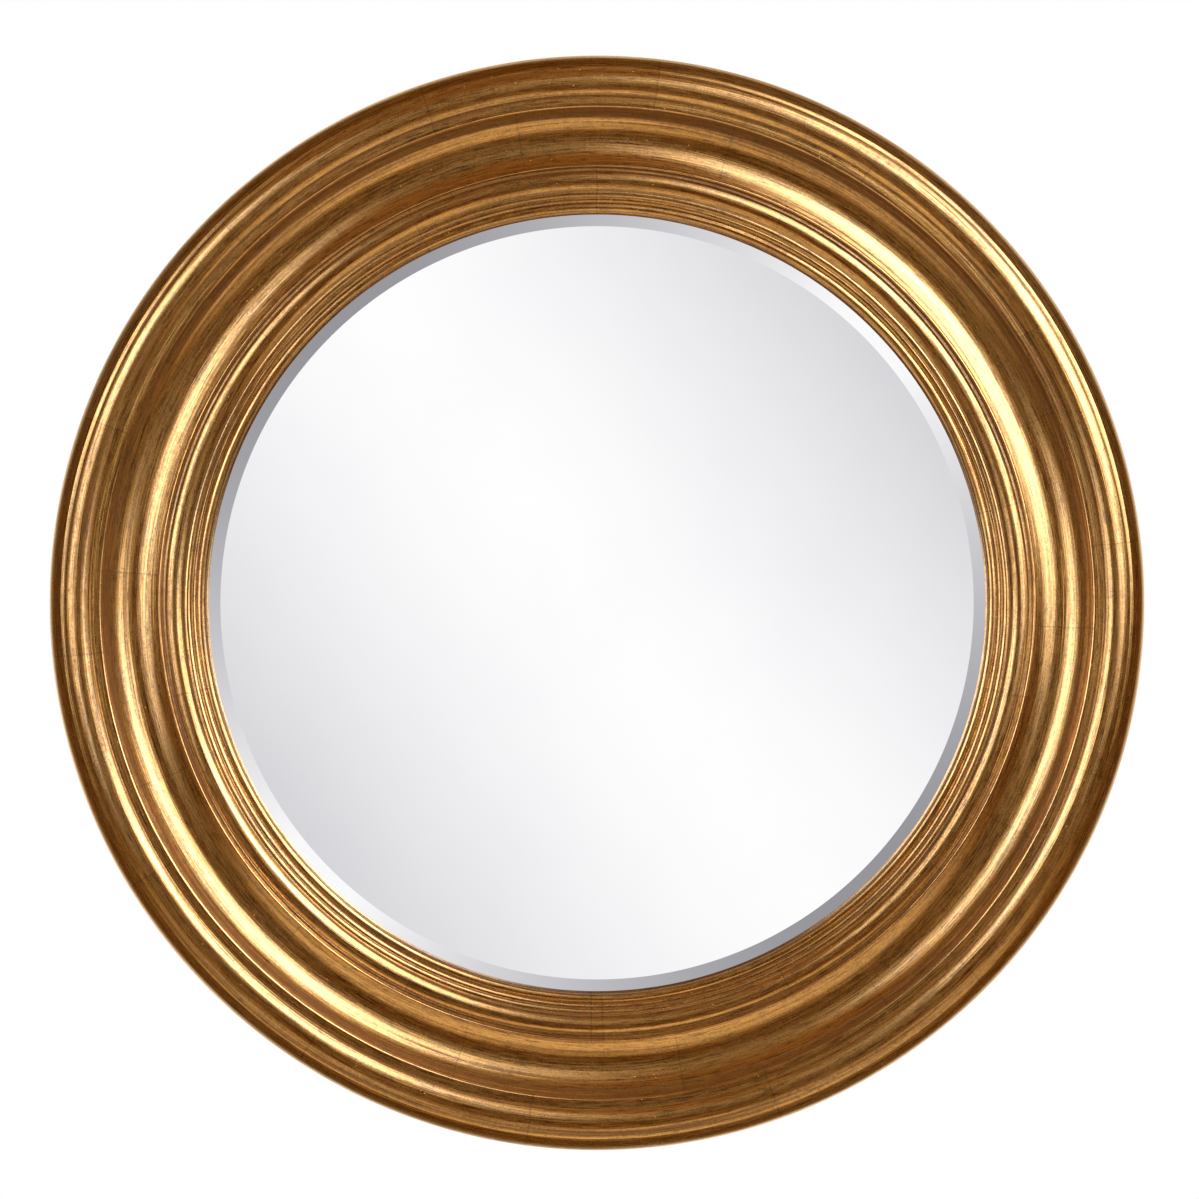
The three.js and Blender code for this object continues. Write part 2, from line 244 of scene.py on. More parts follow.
LEAF = (0.85, 0.455, 0.105, 1)
PALE_LEAF = (0.93, 0.61, 0.24, 1)
# Umber toning, darkened further to serve as painted shade in the grooves and on the steep cove wall.
UMBER_AND_SHADE = (0.125, 0.033, 0.002, 1)
SMOKE = (0.42, 0.26, 0.1, 1)
BOLE = (0.21, 0.045, 0.005, 1)
PIT = (0.05, 0.022, 0.01, 1)
GROUND_SHARE = 0.12  # how light the dark ground is beside the leaf on it
SHEET_ROWS = 21.0  # rows of leaf in a metre of the profile
SHEET_STEP = math.radians(25.6)  # from one lap of the leaf to the next, round the ring
ROW_SHIFT = 0.37  # of a sheet, from one row to the next


def gold_leaf():
    """Water-gilt leaf over red bole, rubbed at the crests, with umber toning in the hollows, which is partly painted
    shade.
    """
    finish = Finish("gold_leaf")
    x, y, z = finish.split(finish.place)
    radius = (x * x + z * z) ** 0.5
    east = x / radius
    north = z / radius
    across = finish.attribute("across")
    umber_and_shade_here = finish.attribute("umber")
    rubbed_here = finish.attribute("rubbed")

    def streaks(around, over, detail=2.0, roughness=0.55):
        """Noise drawn out round the ring: `around` per radian and `over` per metre of the profile."""
        return finish.noise(finish.join(east * around, across * over, north * around), 1, detail, roughness)

    broad = streaks(1.6, 110, 3)
    lines = streaks(1.3, 330, 5, 0.75)
    ridges = streaks(2, 300, 3, 0.7)
    fine = streaks(5, 900, 4, 0.75)
    flecks = streaks(26, 700, 3, 0.7)
    scores = streaks(0.9, 1150, 2, 0.6).fade(0.57, 0.68)
    mottle = finish.noise(finish.place, 320, 5, 0.75)
    grain = finish.noise(finish.place, 1100, 3, 0.7)

    # Sheets of leaf, laid edge to edge round the ring in rows.
    row = (across * SHEET_ROWS).floor()
    wander = (finish.noise(finish.place, 60, 3) - 0.5) * 0.02
    turn = x.turn_to(z) / SHEET_STEP + row * ROW_SHIFT + wander + 50
    sheet = finish.chance(finish.join(turn.floor(), row, 3))
    lap = ((turn + 0.5) % 1.0 - 0.5).__abs__().fade(0.0012, 0.006, 1, 0)

    # Umber mask: toning in the hollows, and painted shade where the strokes set umber high on grooves and steep
    # walls.
    umber = umber_and_shade_here * 0.75 + (lines - 0.5) * 2.4 + (broad - 0.5) * 1.2 + (fine - 0.5) * 1.3 + (mottle - 0.5) * 0.6
    umber = umber + (flecks - 0.5) * 1.2
    red = rubbed_here * 0.6 + (fine - 0.5) * 2.2 + (lines - 0.5) * 1.8 + (flecks - 0.5) * 1.6
    red = red.fade(0.45, 0.95)
    # The dark ground shows where umber or rubbing reaches, so it carries the painted shade too.
    ground_and_shade = (umber.fade(0.05, 0.85) * 0.9).at_least(red * 0.7)
    smoke = (streaks(3, 240, 4, 0.7) + (mottle - 0.5) * 0.5).fade(0.5, 0.7)
    pale = (streaks(2, 600, 4, 0.75) + (sheet - 0.5) * 0.1).fade(0.5, 0.68)

    color = finish.mix(pale * 0.6, LEAF, PALE_LEAF)
    color = finish.mix(smoke * 0.5, color, SMOKE)
    color = finish.mix(ground_and_shade, color, finish.mix(red, UMBER_AND_SHADE, BOLE))

    # Pits and knocks, down to the dark ground.
    pit_place = finish.join(east * 60, across * 170, north * 60)
    pit = finish.cells(pit_place, 1).fade(0.04, 0.09, 1, 0)
    pit = pit * (finish.noise(finish.place, 17, 2) > 0.5)
    color = finish.mix(pit * 0.85, color, PIT)
    tone = 0.98 + (fine - 0.5) * 2.0 + (flecks - 0.5) * 2.9 + (grain - 0.5) * 1.8 - scores * 0.3
    color = finish.tint(color, tone.at_most(1.12) * (0.95 + sheet * 0.1 - lap * 0.25))

    roughness = 0.15 + umber_and_shade_here * 0.16 + ground_and_shade * 0.1 + (fine - 0.5) * 0.12 + (mottle - 0.5) * 0.12
    relief = (ridges - 0.5) * 2.6e-4 + (fine - 0.5) * 3e-5 + (mottle - 0.5) * 2.5e-5
    relief = relief + lap * 1.2e-5 - pit * 1.2e-4
    leaf = (1 - ground_and_shade) * (1 - pit)
    metal = leaf / (leaf + GROUND_SHARE * (1 - leaf))
    coat = 0.95 - ground_and_shade * 0.9
    return finish.done(
        color, roughness, relief, Metallic=metal, Coat_Weight=coat, Coat_Roughness=0.16, Coat_IOR=1.88
    )


def silvered_glass():
    """Polished, silvered glass with the faintest marks of wiping."""
    finish = Finish("silvered_glass")
    wiping = finish.noise(finish.place, 9, 3, 0.6)
    color = finish.mix(wiping.fade(0.35, 0.8), (0.995, 0.995, 1.0, 1), (0.972, 0.973, 0.985, 1))
    return finish.done(color, 0.0, Metallic=1.0)


BOARD_SPACING = 2.0  # between the segments in the map of their grain, so that none shares its figure


def frame_wood():
    """Sawn hardwood, bare at the back, with ochre paint at the side."""
    finish = Finish("frame_wood")
    grain_place = finish.node("ShaderNodeUVMap", {"uv_map": "grain"})
    along, over, _ = finish.split(grain_place)
    x, _, z = finish.split(finish.place)
    rings = finish.noise(finish.join(along * 5, over * 95, 0), 1, 5, 0.6, 0.4)
    pores = finish.noise(finish.join(along * 90, over * 2600, 0), 1, 2, 0.6)
    saw = ((along * 2400).sine() * 0.5 + 0.5) * finish.noise(finish.place, 40, 2).fade(0.4, 0.7)
    board = finish.chance(finish.join(((along + BOARD_SPACING / 2) / BOARD_SPACING).floor(), 7, 0))
    bare = finish.mix(rings.fade(0.3, 0.7), (0.46, 0.3, 0.155, 1), (0.25, 0.135, 0.06, 1))
    bare = finish.mix(pores.fade(0.55, 0.7) * 0.6, bare, (0.13, 0.07, 0.032, 1))
    bare = finish.tint(bare, 0.84 + board * 0.26)
    paint_edge = (finish.noise(finish.place, 180, 3) - 0.5) * (1.6 * MM)
    painted = ((x * x + z * z) ** 0.5 + paint_edge).fade(REAR_RADIUS - 1.4 * MM, REAR_RADIUS - 0.8 * MM)
    ochre = finish.mix(finish.noise(finish.place, 70, 4), (0.33, 0.18, 0.055, 1), (0.2, 0.1, 0.03, 1))
    color = finish.mix(painted, bare, ochre)
    relief = rings * 1e-4 + pores * 5e-5 + saw * 4e-5
    return finish.done(color, 0.72 - painted * 0.14, relief)


def packing_wood():
    """Bare softwood."""
    finish = Finish("packing_wood")
    x, y, z = finish.split(finish.place)
    rings = finish.noise(finish.join(x * 12, y * 300, z * 12), 1, 4, 0.6, 0.5)
    color = finish.mix(rings.fade(0.3, 0.7), (0.62, 0.45, 0.27, 1), (0.45, 0.29, 0.14, 1))
    return finish.done(color, 0.8, rings * 1e-4)


def hardboard():
    """Pressed fibre board, smooth and brown."""
    finish = Finish("hardboard")
    fibres = finish.noise(finish.place, 420, 5, 0.7, 1.2)
    clouds = finish.noise(finish.place, 11, 4, 0.6)
    specks = finish.cells(finish.place, 520).fade(0.1, 0.3, 1, 0)
    color = finish.mix(fibres.fade(0.3, 0.72), (0.2, 0.1, 0.04, 1), (0.115, 0.053, 0.022, 1))
    color = finish.mix(clouds.fade(0.35, 0.75) * 0.4, color, (0.25, 0.14, 0.075, 1))
    color = finish.mix(specks * 0.4, color, (0.06, 0.03, 0.016, 1))
    return finish.done(color, 0.6 + fibres * 0.2, fibres * 4e-5)


def plated(name, bright, dull, roughness):
    """Plated metal with fine drawing lines, dull patches and hairline scratches."""
    finish = Finish(name)
    x, y, z = finish.split(finish.place)
    lines = finish.noise(finish.join(x * 600, y * 600, z * 3600), 1, 3, 0.6)
    patches = finish.noise(finish.place, 150, 4, 0.6)
    scratch = finish.cells(finish.join(x * 160 + patches, y * 160, z * 900), 1, feature="DISTANCE_TO_EDGE")
    scratch = scratch.fade(0.01, 0.04, 1, 0) * patches.fade(0.45, 0.6)
    color = finish.mix(patches.fade(0.4, 0.7), bright, dull)
    color = finish.mix(scratch * 0.5, color, tuple(0.55 * part for part in dull[:3]) + (1,))
    rough = roughness + (patches - 0.5) * 0.3 + lines * 0.08
    return finish.done(color, rough, lines * 6e-6 - scratch * 1e-5, Metallic=1.0)


def bumper_rubber():
    """Matt black rubber with a moulded grain and a little dust."""
    finish = Finish("bumper_rubber")
    skin = finish.noise(finish.place, 2600, 3, 0.6)
    dust = finish.noise(finish.place, 380, 4, 0.7).fade(0.5, 0.8)
    color = finish.mix(dust * 0.35, (0.016, 0.016, 0.017, 1), (0.11, 0.1, 0.09, 1))
    return finish.done(color, 0.72 + dust * 0.2, skin * 3e-5)


FINISHES = {
    "gold_leaf": gold_leaf(),
    "mirror_glass": silvered_glass(),
    "frame_wood": frame_wood(),
    "packing_wood": packing_wood(),
    "hardboard": hardboard(),
    "brass_fittings": plated("brass_fittings", (0.6, 0.42, 0.16, 1), (0.4, 0.26, 0.095, 1), 0.26),
    "steel_fittings": plated("steel_fittings", (0.62, 0.63, 0.65, 1), (0.44, 0.45, 0.46, 1), 0.26),
    "bumper_rubber": bumper_rubber(),
}


# ---- Meshes and Geometry Nodes ----


SOCKET_TYPES = {
    "geometry": "NodeSocketGeometry", "material": "NodeSocketMaterial", "object": "NodeSocketObject",
    "count": "NodeSocketInt", "number": "NodeSocketFloat",
}


class Shaper(Tree):
    """A Geometry Nodes tree with named inputs, which ends in Realize Instances and Set Material."""

    def __init__(self, name, sizes):
        group = bpy.data.node_groups.new(name, "GeometryNodeTree")
        super().__init__(group)
        self.sockets = {
            label: group.interface.new_socket(label, in_out="INPUT", socket_type=SOCKET_TYPES[kind])
            for label, kind in {"Geometry": "geometry", "Material": "material", **sizes}.items()
        }
        group.interface.new_socket("Geometry", in_out="OUTPUT", socket_type=SOCKET_TYPES["geometry"])
        source = group.nodes.new("NodeGroupInput")
        self.given = {label: Socket(self, source.outputs[label]) for label in self.sockets}

    def ends_with(self, geometry):
        whole = self.node("GeometryNodeRealizeInstances", None, [geometry])
        whole = self.node("GeometryNodeSetMaterial", None, {"Geometry": whole, "Material": self.given["Material"]})
        self.node("NodeGroupOutput", None, [whole])
        return self

    def shape(self, name, source, finish, **sizes):
        """The plain mesh that the tree makes of the mesh `source`, as a new object."""
        host = bpy.data.objects.new(name, source)
        bpy.context.scene.collection.objects.link(host)
        modifier = host.modifiers.new(name, "NODES")
        modifier.node_group = self.tree
        values = {label.replace("_", " ").title(): value for label, value in sizes.items()}
        for label, value in {"Material": FINISHES[finish], **values}.items():
            modifier[self.sockets[label].identifier] = value
        return plain(host)


def plain(host):
    """Puts the evaluated mesh of `host` in its place, without modifiers, with smooth faces that point out."""
    depsgraph = bpy.context.evaluated_depsgraph_get()
    result = bpy.data.meshes.new_from_object(
        host.evaluated_get(depsgraph), preserve_all_data_layers=True, depsgraph=depsgraph
    )
    host.modifiers.clear()
    host.data = result
    return tidied(host)


def tidied(piece, crease=38):
    """Smooth faces that point out, sharp edges where the surface turns by more than `crease` degrees."""
    mesh = piece.data
    shell = bmesh.new()
    shell.from_mesh(mesh)
    bmesh.ops.recalc_face_normals(shell, faces=shell.faces)
    if shell.calc_volume(signed=True) < 0:
        bmesh.ops.reverse_faces(shell, faces=shell.faces)
    shell.to_mesh(mesh)
    shell.free()
    mesh.shade_smooth()
    mesh.set_sharp_from_angle(angle=math.radians(crease))
    mesh.name = piece.name
    return piece


def fitted(piece, body, slot, *nodes):
    """Hands a finished piece over: its body and the CAD nodes that it stands for. The material slot `slot` is not
    used.
    """
    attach(piece, body)
    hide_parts(*nodes)
    return piece


def numbered(name, count):
    return [f"{name}_{i + 1}" for i in range(count)]


def on_ring(radius, degrees, y=0.0):
    angle = math.radians(degrees)
    return Vector((radius * math.sin(angle), y, radius * math.cos(angle)))


def line_mesh(name, points):
    """A mesh of edges only, a closed line through `points`."""
    mesh = bpy.data.meshes.new(name)
    edges = [(i, (i + 1) % len(points)) for i in range(len(points))]
    mesh.from_pydata([(*point, 0)[:3] for point in points], edges, [])
    return mesh


def face_mesh(name, points, faces, finish):
    mesh = bpy.data.meshes.new(name)
    mesh.from_pydata(points, [], faces)
    mesh.materials.append(FINISHES[finish])
    piece = bpy.data.objects.new(name, mesh)
    bpy.context.scene.collection.objects.link(piece)
    return piece


# ---- Trees for turned pieces, wires, screws and rows of them ----


def turning_tree():
    """Turns a closed profile round the Y axis, then gives it the slight unevenness of hand work."""
    tree = Shaper("turning", {
        "Rail Radius": "number", "Steps": "count", "Unevenness": "number", "Waves": "number", "Seed": "number",
    })
    given = tree.given
    circle = tree.node("GeometryNodeCurvePrimitiveCircle", None, {
        "Resolution": given["Steps"], "Radius": given["Rail Radius"],
    })
    rail = tree.node("GeometryNodeTransform", None, {"Geometry": circle, "Rotation": (math.pi / 2, 0, 0)})
    profile = tree.node("GeometryNodeMeshToCurve", None, [given["Geometry"]])
    swept = tree.node("GeometryNodeCurveToMesh", None, {"Curve": rail, "Profile Curve": profile})
    closed = tree.node("GeometryNodeMergeByDistance", None, {"Geometry": swept, "Distance": 2e-6})
    x, y, z = tree.split(tree.node("GeometryNodeInputPosition"))
    radius = ((x * x + z * z) ** 0.5).at_least(1e-6)
    across = tree.node("GeometryNodeInputNamedAttribute", {"data_type": "FLOAT"}, ["across"])
    waves = given["Waves"]
    place = tree.join(x / radius * waves + given["Seed"], across * 90, z / radius * waves)
    ripple_place = tree.join(x / radius * waves * 5, across * 260 + given["Seed"], z / radius * waves * 5)
    lift = tree.noise(place, 1, 2) - 0.5 + (tree.noise(ripple_place, 1, 1) - 0.5) * 0.45
    offset = tree.node("ShaderNodeVectorMath", {"operation": "SCALE"}, {
        0: tree.node("GeometryNodeInputNormal"), "Scale": lift * given["Unevenness"],
    })
    return tree.ends_with(tree.node("GeometryNodeSetPosition", None, {"Geometry": closed, "Offset": offset}))


def wire_tree():
    """Draws round wire along a closed line."""
    tree = Shaper("wire", {"Wire Radius": "number", "Sides": "count"})
    path = tree.node("GeometryNodeMeshToCurve", None, [tree.given["Geometry"]])
    section = tree.node("GeometryNodeCurvePrimitiveCircle", None, {
        "Resolution": tree.given["Sides"], "Radius": tree.given["Wire Radius"],
    })
    return tree.ends_with(tree.node("GeometryNodeCurveToMesh", None, {"Curve": path, "Profile Curve": section}))


def screw_tree():
    """A round-head screw with a cross recess at each point, each turned as it happened to end up."""
    tree = Shaper("screws", {
        "Head Radius": "number", "Head Height": "number", "Shank Radius": "number", "Length": "number",
        "Seed": "count",
    })
    given = tree.given
    radius, height, length = given["Head Radius"], given["Head Height"], given["Length"]

    def block(x, y, z, at=0.0, turn=0.0):
        cube = tree.node("GeometryNodeMeshCube", None, {"Size": tree.join(x, y, z)})
        place = {"Geometry": cube, "Translation": tree.join(0, 0, at), "Rotation": (0, 0, turn)}
        return tree.node("GeometryNodeTransform", None, place)

    ball = tree.node("GeometryNodeMeshUVSphere", None, {"Segments": 32, "Rings": 20, "Radius": 1.0})
    dome = tree.node("GeometryNodeTransform", None, {
        "Geometry": ball, "Scale": tree.join(radius, radius, height),
    })
    below = block(radius * 3, radius * 3, height * 2, at=height * -1.0)
    recess_height = height * 1.2
    arms = [
        block(radius * 1.05, radius * 0.21, recess_height, height * 1.02, turn) for turn in (0.0, math.pi / 2)
    ]
    head = tree.node("GeometryNodeMeshBoolean", {"operation": "DIFFERENCE"}, [dome, below])
    for arm in arms:
        head = tree.node("GeometryNodeMeshBoolean", {"operation": "DIFFERENCE"}, [head, arm])
    shank = tree.node("GeometryNodeMeshCylinder", None, {
        "Vertices": 20, "Radius": given["Shank Radius"], "Depth": length,
    })
    shank = tree.node("GeometryNodeTransform", None, {
        "Geometry": shank, "Translation": tree.join(0, 0, length * -0.5 + height * 0.3),
    })
    screw = tree.node("GeometryNodeMeshBoolean", {"operation": "UNION"}, {"Mesh 2": head})
    tree.tree.links.new(shank.output, screw.output.node.inputs["Mesh 2"])
    upright = tree.node("GeometryNodeTransform", None, {"Geometry": screw, "Rotation": (-math.pi / 2, 0, 0)})
    turn = tree.node("FunctionNodeRandomValue", None, {3: math.pi, "Seed": given["Seed"]}, 1)
    row = tree.node("GeometryNodeInstanceOnPoints", None, {
        "Points": given["Geometry"], "Instance": upright, "Rotation": tree.join(0, turn, 0),
    })
    return tree.ends_with(row)


def setting_out_tree():
    """A copy of one piece at each point."""
    tree = Shaper("setting_out", {"Piece": "object"})
    piece = tree.node("GeometryNodeObjectInfo", None, {"Object": tree.given["Piece"]}, "Geometry")
    row = tree.node("GeometryNodeInstanceOnPoints", None, {"Points": tree.given["Geometry"], "Instance": piece})
    return tree.ends_with(row)


TURNING = turning_tree()
WIRE = wire_tree()
SCREWS = screw_tree()
SETTING_OUT = setting_out_tree()


# ---- Profiles ----


def rounded(points, radius, sharpest=14, steps=3):
    """Rounds each corner of a closed outline that turns by more than `sharpest` degrees."""
    result = []
    count = len(points)
    for i, corner in enumerate(points):
        here, before, after = (np.array(p, float) for p in (corner, points[i - 1], points[(i + 1) % count]))
        back, ahead = before - here, after - here
        long_back, long_ahead = np.linalg.norm(back), np.linalg.norm(ahead)
        turn = math.pi - math.acos(max(-1, min(1, back @ ahead / (long_back * long_ahead))))
        if turn < math.radians(sharpest):
            result.append(tuple(here))
            continue
        reach = min(radius * math.tan(turn / 2), 0.42 * long_back, 0.42 * long_ahead)
        start, end = here + back / long_back * reach, here + ahead / long_ahead * reach
        for k in range(steps + 1):
            t = k / steps
            result.append(tuple((1 - t) ** 2 * start + 2 * t * (1 - t) * here + t * t * end))
    return result


def arc(start, width, rise, bulge, step=5):
    """The points after `start` of one stroke that bulges to the front by `bulge`."""
    chord = math.hypot(width, rise)
    turn = 4 * math.atan(2 * abs(bulge) / chord)
    steps = max(1, round(math.degrees(turn) / step))
    points = []
    for i in range(1, steps + 1):
        along, lift = i / steps, 0.0
        if bulge:
            lean = (i / steps - 0.5) * turn
            along = 0.5 + math.sin(lean) / (2 * math.sin(turn / 2))
            lift = bulge * (math.cos(lean) - math.cos(turn / 2)) / (1 - math.cos(turn / 2))
        across = start[0] + along * width - lift * rise / chord
        points.append((across, start[1] + along * rise + lift * width / chord))
    return points


def spaced(points, longest):
    """A closed outline with no side longer than `longest`."""
    result = []
    for i, point in enumerate(points):
        here, after = np.array(point, float), np.array(points[(i + 1) % len(points)], float)
        parts = max(1, math.ceil(np.linalg.norm(after - here) / longest))
        result += [tuple(here + (after - here) * k / parts) for k in range(parts)]
    return result


def length_along(points):
    steps = [math.dist(a, b) for a, b in zip(points, points[1:])]
    return np.concatenate([[0.0], np.cumsum(steps)])


def softened(values, lengths, reach):
    """Values along a line, each blended with those within `reach`."""
    away = (lengths[:, None] - lengths[None, :]) / reach
    weights = np.exp(-away * away)
    return weights @ values / weights.sum(1)


def moulding_profile():
    """The closed outline of the moulding as (across from the sight edge, height above it), with its toning, which is
    partly painted shade.
    """
    points = [(0.0, 0.0)]
    spans = []
    for _, width, rise, bulge, umber, rubbed in STROKES:
        points += arc(points[-1], width * MM, rise * MM, bulge * MM)
        spans.append((points[-1][0], umber, rubbed))
    width = points[-1][0]
    outline = [(0.0, -SIGHT_LIP), *points, (width, BACK_CHAMFER - SIGHT_LIP), (width - BACK_CHAMFER, -SIGHT_LIP)]
    outline = spaced(rounded(outline, 0.35 * MM), 2.2 * MM)
    lengths = length_along(outline)
    umber, rubbed = [], []
    for across, height in outline:
        at_back = height < -SIGHT_LIP + 0.1 * MM
        span = next((s for s in spans if across <= s[0] + 1e-7), spans[-1])
        umber.append(1.0 if at_back else span[1])
        rubbed.append(0.8 if at_back else span[2])
    reach = 0.9 * MM
    return outline, lengths, softened(np.array(umber), lengths, reach), softened(np.array(rubbed), lengths, reach)


# ---- Gilded frame ----


def gilded_frame():
    outline, lengths, umber, rubbed = moulding_profile()
    rail = SIGHT_RADIUS + MOULDING_WIDTH / 2
    profile = line_mesh("profile", [(SIGHT_RADIUS + u - rail, SIGHT_Y - h) for u, h in outline])
    # The umber attribute carries the toning and the painted shade of the grooves and steep walls.
    for name, values in (("across", lengths), ("umber", umber), ("rubbed", rubbed)):
        profile.attributes.new(name, "FLOAT", "POINT").data.foreach_set("value", values.astype(np.float32))
    piece = TURNING.shape(
        "gilded_frame", profile, "gold_leaf", rail_radius=rail, steps=FRAME_STEPS, unevenness=0.22 * MM,
        waves=5.0, seed=2.0,
    )
    return fitted(piece, "frame", "gold_leaf", "gilded_moulding")


# ---- Mirror glass ----


def mirror_glass():
    """A shallow dome with a flat-ground, polished bevel round it."""
    bevel_inner = GLASS_RADIUS - BEVEL_WIDTH
    dome_radius = (bevel_inner**2 + DOME_RISE**2) / (2 * DOME_RISE)
    slope = math.tan(math.asin(bevel_inner / dome_radius) + BEVEL_ANGLE)
    mouldings_back = SIGHT_Y + SIGHT_LIP
    apex = mouldings_back + SEAT_GAP - DOME_RISE - slope * (SIGHT_RADIUS - bevel_inner)
    centre = apex + dome_radius
    back_radius = dome_radius - GLASS_THICKNESS
    front = [(r, centre - math.sqrt(dome_radius**2 - r * r)) for r in np.linspace(0, bevel_inner, 56)]
    bevel = [(bevel_inner + w, front[-1][1] + slope * w) for w in np.linspace(0, BEVEL_WIDTH, 7)[1:]]
    back = [(r, centre - math.sqrt(back_radius**2 - r * r)) for r in np.linspace(GLASS_RADIUS, 0, 24)]
    outline = [*front, *bevel, *back]
    rail = GLASS_RADIUS / 2
    profile = line_mesh("glass_profile", [(r - rail, y) for r, y in outline])
    piece = TURNING.shape("mirror", profile, "mirror_glass", rail_radius=rail, steps=GLASS_STEPS, seed=0.0)
    tidied(piece, GLASS_CREASE)
    return fitted(piece, "frame", "mirror_glass", "mirror_glass")


# ---- Rear ring ----


def rear_segment(index, steps=28):
    """One segment of the rear ring, butt-jointed to its neighbours, with its edges eased."""
    middle = 45.0 * index
    half_gap = SEAT_GAP / 2
    front, back = RING_BACK_Y - RING_DEPTH, RING_BACK_Y

    def arc_points(radius):
        half = 22.5 - math.degrees(math.asin(half_gap / radius))
        return [on_ring(radius, middle + half * (2 * i / steps - 1)) for i in range(steps + 1)]

    outline = [*arc_points(REAR_RADIUS), *reversed(arc_points(REBATE_RADIUS))]
    count = len(outline)
    points = [(p.x, y, p.z) for y in (front, back) for p in outline]
    sides = [(i, (i + 1) % count, (i + 1) % count + count, i + count) for i in range(count)]
    caps = []
    for i in range(steps):
        quad = (i, i + 1, count - 2 - i, count - 1 - i)
        caps += [quad, tuple(k + count for k in reversed(quad))]
    piece = face_mesh(f"rear_segment_{index + 1}_wood", points, sides + caps, "frame_wood")
    solid = bmesh.new()
    solid.from_mesh(piece.data)
    bmesh.ops.recalc_face_normals(solid, faces=solid.faces)
    hard = [e for e in solid.edges if e.calc_face_angle(0) > math.radians(40)]
    bmesh.ops.bevel(solid, geom=hard, offset=0.6 * MM, segments=2, profile=0.5, affect="EDGES")
    grain = solid.loops.layers.uv.new("grain")
    away, across = on_ring(1, middle), on_ring(1, middle + 90)
    for face in solid.faces:
        for corner in face.loops:
            spot = corner.vert.co
            shift = BOARD_SPACING * index
            corner[grain].uv = (spot.dot(across) + shift, spot.dot(away) + 0.7 * spot.y + shift)
    solid.to_mesh(piece.data)
    solid.free()
    return fitted(tidied(piece), "frame", "frame_wood", f"rear_segment_{index + 1}")


# ---- Back board, buttons and bumpers ----


def back_board():
    back = RING_BACK_Y - SEAT_GAP
    edge = [
        (0.0, back - BOARD_THICKNESS), (BOARD_RADIUS, back - BOARD_THICKNESS), (BOARD_RADIUS, back), (0.0, back),
    ]
    outline = rounded(edge, 0.5 * MM)
    outline = [p for p in outline if p[0] > 1e-4]
    outline = [(0.0, outline[0][1]), *outline, (0.0, outline[-1][1])]
    outline = spaced(outline, 12 * MM)
    rail = BOARD_RADIUS / 2
    profile = line_mesh("board_profile", [(r - rail, y) for r, y in outline])
    piece = TURNING.shape(
        "hardboard_back", profile, "hardboard", rail_radius=rail, steps=BOARD_STEPS, unevenness=0.06 * MM,
        waves=2.0, seed=5.0,
    )
    return fitted(piece, "frame", "hardboard", "back_board")


def button_outline(samples=72):
    """Points round a turn button whose arm points down, about its pivot, evenly along the edge."""
    half = BUTTON_WIDTH / 2
    top, bottom = BUTTON_TAIL - half, half - BUTTON_REACH
    side, bend = top - bottom, math.pi * half
    whole = 2 * (side + bend)
    points = []
    for i in range(samples):
        s = whole * i / samples
        if s < bend:
            points.append((half * math.cos(s / half), top + half * math.sin(s / half)))
        elif s < bend + side:
            points.append((-half, top - (s - bend)))
        elif s < 2 * bend + side:
            angle = math.pi + (s - bend - side) / half
            points.append((half * math.cos(angle), bottom + half * math.sin(angle)))
        else:
            points.append((half, bottom + s - 2 * bend - side))
    return points


def turn_button(index):
    """A pressed brass plate with eased edges, a hole for its screw and a raised rib along its arm."""
    degrees = 45.0 * index
    pivot = on_ring(BUTTON_PIVOT_RADIUS, degrees)
    front, back = RING_BACK_Y + SEAT_GAP, RING_BACK_Y + SEAT_GAP + BUTTON_THICKNESS
    outline = button_outline()
    count = len(outline)
    ease = BUTTON_EASE
    bands = [0, 0.08, 0.25, 0.45, 0.65, 0.82, 1]

    def ring_of(share, inset, y, rib=0.0):
        """A loop at `share` of the way from the hole to the edge."""
        loop = []
        for px, pz in outline:
            length = math.hypot(px, pz)
            reach = HOLE_RADIUS + (length - inset - HOLE_RADIUS) * share
            x, z = px / length * reach, pz / length * reach
            rise = rib * math.exp(-((x / RIB_HALF_WIDTH) ** 2))
            rise *= min(1, max(0, (-z - RIB_START) / RIB_RUN_OUT)) * min(1, max(0, (z + RIB_END) / RIB_RUN_OUT))
            loop.append((x, y + rise, z))
        return loop

    loops = [ring_of(share, ease, back, RIB_HEIGHT) for share in bands]
    loops += [ring_of(1, ease * 0.3, back - ease * 0.3), ring_of(1, 0, back - ease), ring_of(1, 0, front + ease)]
    loops += [ring_of(share, ease, front) for share in reversed(bands)]
    turn = Matrix.Rotation(math.radians(degrees), 4, "Y")
    points = [turn @ Vector(p) + pivot for loop in loops for p in loop]
    faces = [
        (a * count + i, a * count + (i + 1) % count, b * count + (i + 1) % count, b * count + i)
        for a, b in zip(range(len(loops)), [*range(1, len(loops)), 0]) for i in range(count)
    ]
    name = f"turn_button_{index + 1}"
    piece = face_mesh(f"{name}_plate", points, faces, "brass_fittings")
    return fitted(tidied(piece), name, "brass_fittings", name)


def points_mesh(places):
    mesh = bpy.data.meshes.new("places")
    mesh.from_pydata([tuple(p) for p in places], [], [])
    return mesh


def screws(name, places, finish, length, seed, nodes):
    piece = SCREWS.shape(
        name, points_mesh(places), finish, head_radius=HEAD_RADIUS, head_height=HEAD_HEIGHT,
        shank_radius=SHANK_RADIUS, length=length, seed=seed,
    )
    return fitted(tidied(piece, 30), "frame", finish, *nodes)


